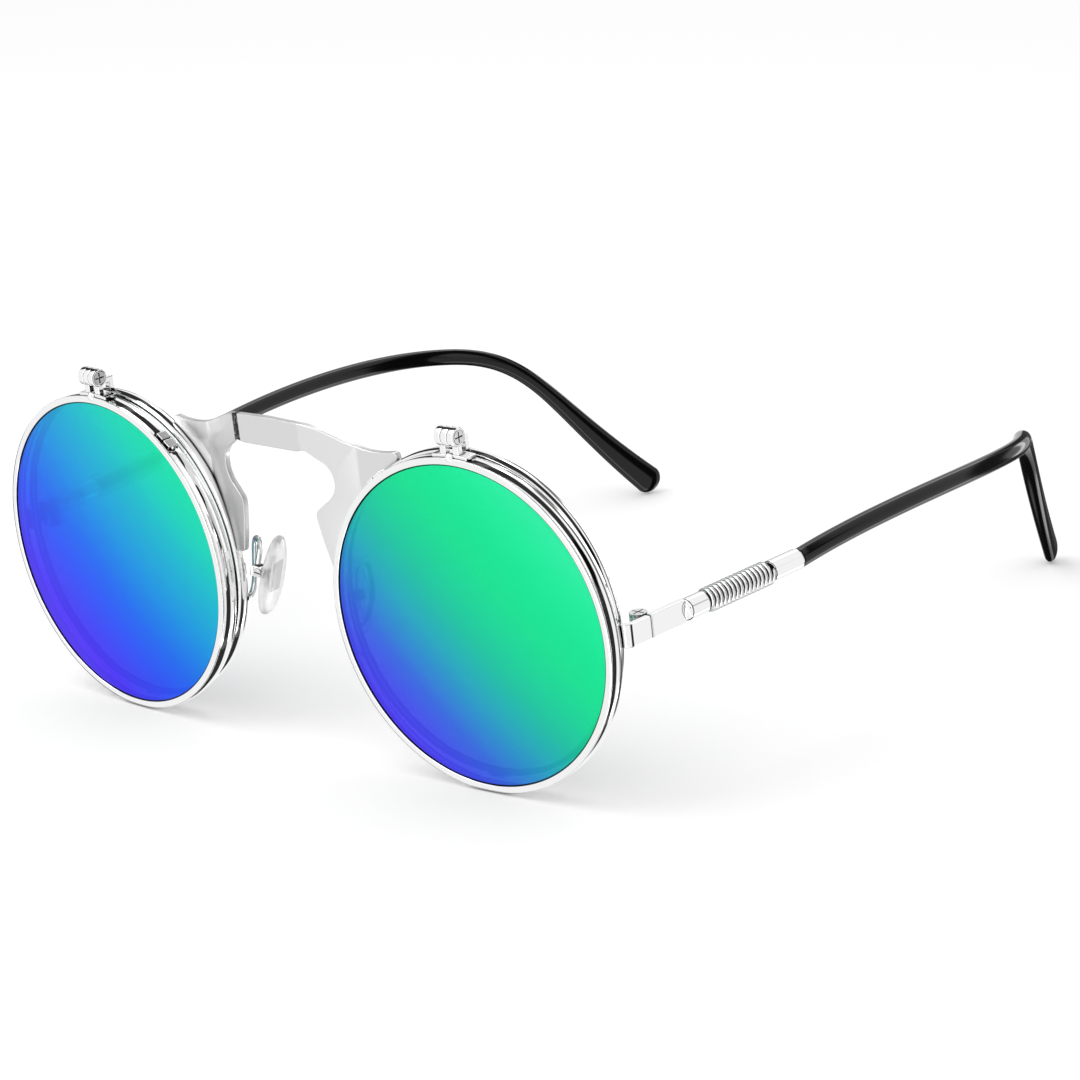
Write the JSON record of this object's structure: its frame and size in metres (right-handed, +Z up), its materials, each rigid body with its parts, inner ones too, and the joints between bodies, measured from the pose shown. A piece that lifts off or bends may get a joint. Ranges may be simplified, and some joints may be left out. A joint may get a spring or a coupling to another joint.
{
  "type": "flip-up sunglasses",
  "caption": "Round wire sunglasses with mirrored lenses that flip up over clear rear lenses, spring temples with black sleeves and a keyhole bridge.",
  "frame": {"origin": "middle of the bounding box at the level of the table it stands on", "axes": "+X to the wearer's left, the right of the picture; +Y from the lenses to the ear tips; +Z up"},
  "size_m": [0.1346, 0.1359, 0.0543],
  "materials": {
    "polished_metal": "polished",
    "dark_screw": "satin",
    "mirror_lens": "polished, mirrored from green to violet",
    "clear_lens": "polished, clear",
    "black_sleeve": "gloss",
    "clear_pad": "clear gloss"
  },
  "bodies": {
    "frame": {"rear_rim_left": "polished_metal", "rear_rim_right": "polished_metal", "rear_lens_left": "clear_lens", "rear_lens_right": "clear_lens", "rear_lock_left": "polished_metal", "rear_lock_right": "polished_metal", "rear_lock_screw_left": "dark_screw", "rear_lock_screw_right": "dark_screw", "bridge": "polished_metal", "endpiece_left": "polished_metal", "endpiece_right": "polished_metal", "front_hinge_left": "polished_metal", "front_hinge_right": "polished_metal", "hinge_screw_left": "dark_screw", "hinge_screw_right": "dark_screw", "flip_bracket_left": "polished_metal", "flip_bracket_right": "polished_metal", "pad_arm_left": "polished_metal", "pad_arm_right": "polished_metal", "pad_box_left": "polished_metal", "pad_box_right": "polished_metal", "pad_screw_left": "dark_screw", "pad_screw_right": "dark_screw"},
    "flip_left": {"flip_rim_left": "polished_metal", "flip_lens_left": "mirror_lens", "flip_knuckle_left": "polished_metal", "flip_lock_left": "polished_metal", "flip_lock_screw_left": "dark_screw", "flip_screw_left": "dark_screw"},
    "flip_right": {"flip_rim_right": "polished_metal", "flip_lens_right": "mirror_lens", "flip_knuckle_right": "polished_metal", "flip_lock_right": "polished_metal", "flip_lock_screw_right": "dark_screw", "flip_screw_right": "dark_screw"},
    "temple_left": {"temple_hinge_left": "polished_metal", "temple_strip_left": "polished_metal", "ferrule_left": "polished_metal", "spring_left": "polished_metal", "core_wire_left": "polished_metal", "collar_left": "polished_metal", "sleeve_left": "black_sleeve"},
    "temple_right": {"temple_hinge_right": "polished_metal", "temple_strip_right": "polished_metal", "ferrule_right": "polished_metal", "spring_right": "polished_metal", "core_wire_right": "polished_metal", "collar_right": "polished_metal", "sleeve_right": "black_sleeve"},
    "pad_left": {"nose_pad_left": "clear_pad", "pad_insert_left": "polished_metal"},
    "pad_right": {"nose_pad_right": "clear_pad", "pad_insert_right": "polished_metal"}
  },
  "joints": [
    {"name": "flip_hinge_left", "type": "hinge", "parent": "frame", "child": "flip_left", "pos_m": [-0.03684, -0.06644, 0.05294], "axis": [-0.998, 0.0627, 0.0038], "range_deg": [0, 110]},
    {"name": "flip_hinge_right", "type": "hinge", "parent": "frame", "child": "flip_right", "pos_m": [0.03684, -0.06644, 0.05294], "axis": [-0.998, -0.0627, -0.0038], "range_deg": [0, 110]},
    {"name": "temple_hinge_left", "type": "hinge", "parent": "frame", "child": "temple_left", "pos_m": [-0.06005, -0.05569, 0.0259], "axis": [0, 0.0612, -0.9981], "range_deg": [0, 82]},
    {"name": "temple_hinge_right", "type": "hinge", "parent": "frame", "child": "temple_right", "pos_m": [0.06005, -0.05569, 0.0259], "axis": [0, -0.0612, 0.9981], "range_deg": [0, 70]},
    {"name": "pad_pin_left", "type": "hinge", "parent": "frame", "child": "pad_left", "pos_m": [-0.01055, -0.06009, 0.0246], "axis": [-0.3011, 0.9533, -0.0218], "range_deg": [-8, 8]},
    {"name": "pad_pin_right", "type": "hinge", "parent": "frame", "child": "pad_right", "pos_m": [0.01055, -0.06009, 0.0246], "axis": [0.3011, 0.9533, -0.0218], "range_deg": [-8, 8]}
  ]
}
